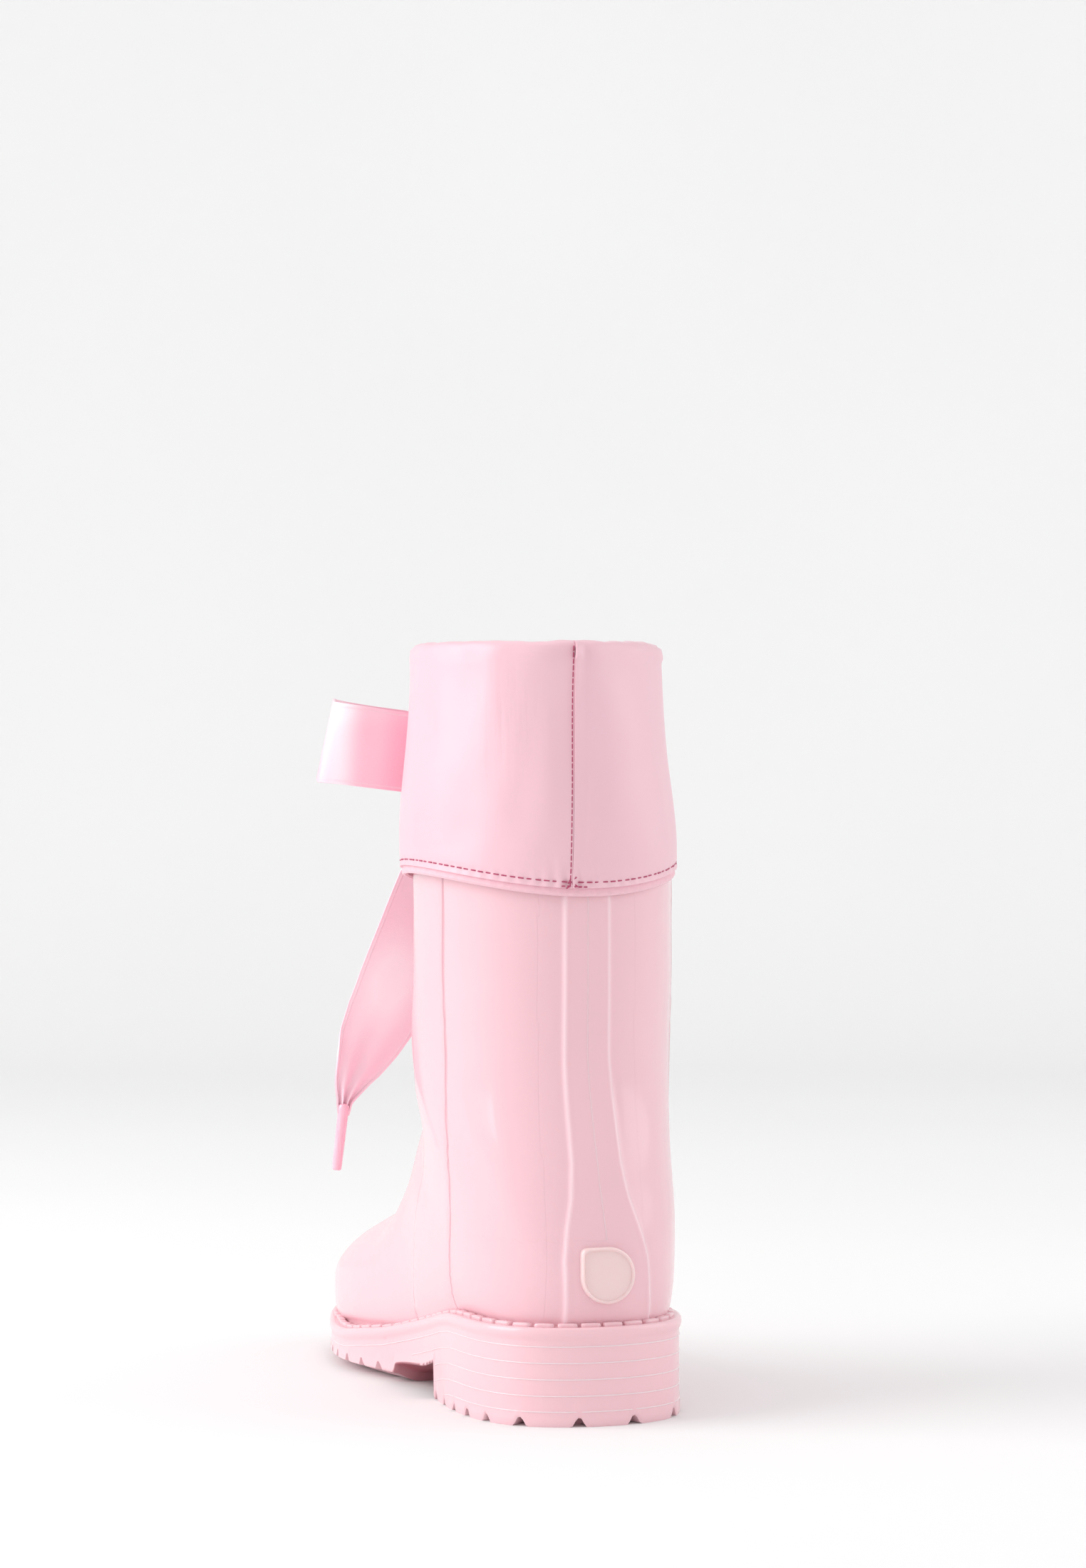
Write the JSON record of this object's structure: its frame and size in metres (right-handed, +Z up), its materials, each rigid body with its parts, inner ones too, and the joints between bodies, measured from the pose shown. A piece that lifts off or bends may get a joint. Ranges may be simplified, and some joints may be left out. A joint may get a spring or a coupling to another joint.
{
  "type": "child's rain boot with ribbon bow",
  "caption": "Child's glossy pull-on rain boot, left foot, with a turned-down patent cuff, a low heel and a satin ribbon bow at the front.",
  "frame": {"origin": "middle of the heel's tread face, on the floor", "axes": "+Y from heel to toe, +X towards the wearer's right (the inner side of this left boot), +Z up"},
  "size_m": [0.116, 0.2051, 0.23],
  "materials": {
    "shell_pvc": "glossy",
    "sole_pvc": "satin",
    "badge_pvc": "satin",
    "knit": "knitted",
    "footbed_foam": "brushed cloth over foam",
    "patent": "patent gloss",
    "lining_cloth": "woven",
    "thread": "thread",
    "eyelet_metal": "gloss enamel",
    "satin": "satin",
    "aglet_film": "clear"
  },
  "bodies": {
    "boot": {"upper_shell": "shell_pvc", "sock_lining": "knit", "footbed": "footbed_foam", "outsole": "sole_pvc", "heel_badge": "badge_pvc", "cuff_left_panel": "patent", "cuff_right_panel": "patent", "cuff_lining": "lining_cloth", "hem_thread": "thread", "back_seam_thread": "thread", "front_seam_thread": "thread", "left_eyelet": "eyelet_metal", "right_eyelet": "eyelet_metal", "ribbon_threaded_run": "satin", "ribbon_knot": "satin"},
    "left_loop": {"ribbon_left_loop": "satin"},
    "right_loop": {"ribbon_right_loop": "satin"},
    "left_tail": {"ribbon_left_tail": "satin", "left_aglet": "aglet_film"},
    "right_tail": {"ribbon_right_tail": "satin", "right_aglet": "aglet_film"}
  },
  "joints": [
    {"name": "left_loop_flop", "type": "hinge", "parent": "boot", "child": "left_loop", "pos_m": [-0.0133, 0.07212, 0.196], "axis": [0, 1, 0], "range_deg": [-8, 20]},
    {"name": "right_loop_flop", "type": "hinge", "parent": "boot", "child": "right_loop", "pos_m": [0.0133, 0.07212, 0.196], "axis": [0, 1, 0], "range_deg": [-20, 8]},
    {"name": "left_tail_swing", "type": "hinge", "parent": "boot", "child": "left_tail", "pos_m": [-0.0039, 0.07212, 0.1836], "axis": [0, 1, 0], "range_deg": [-4, 30]},
    {"name": "right_tail_swing", "type": "hinge", "parent": "boot", "child": "right_tail", "pos_m": [0.0039, 0.07212, 0.1836], "axis": [0, 1, 0], "range_deg": [-30, 4]}
  ]
}
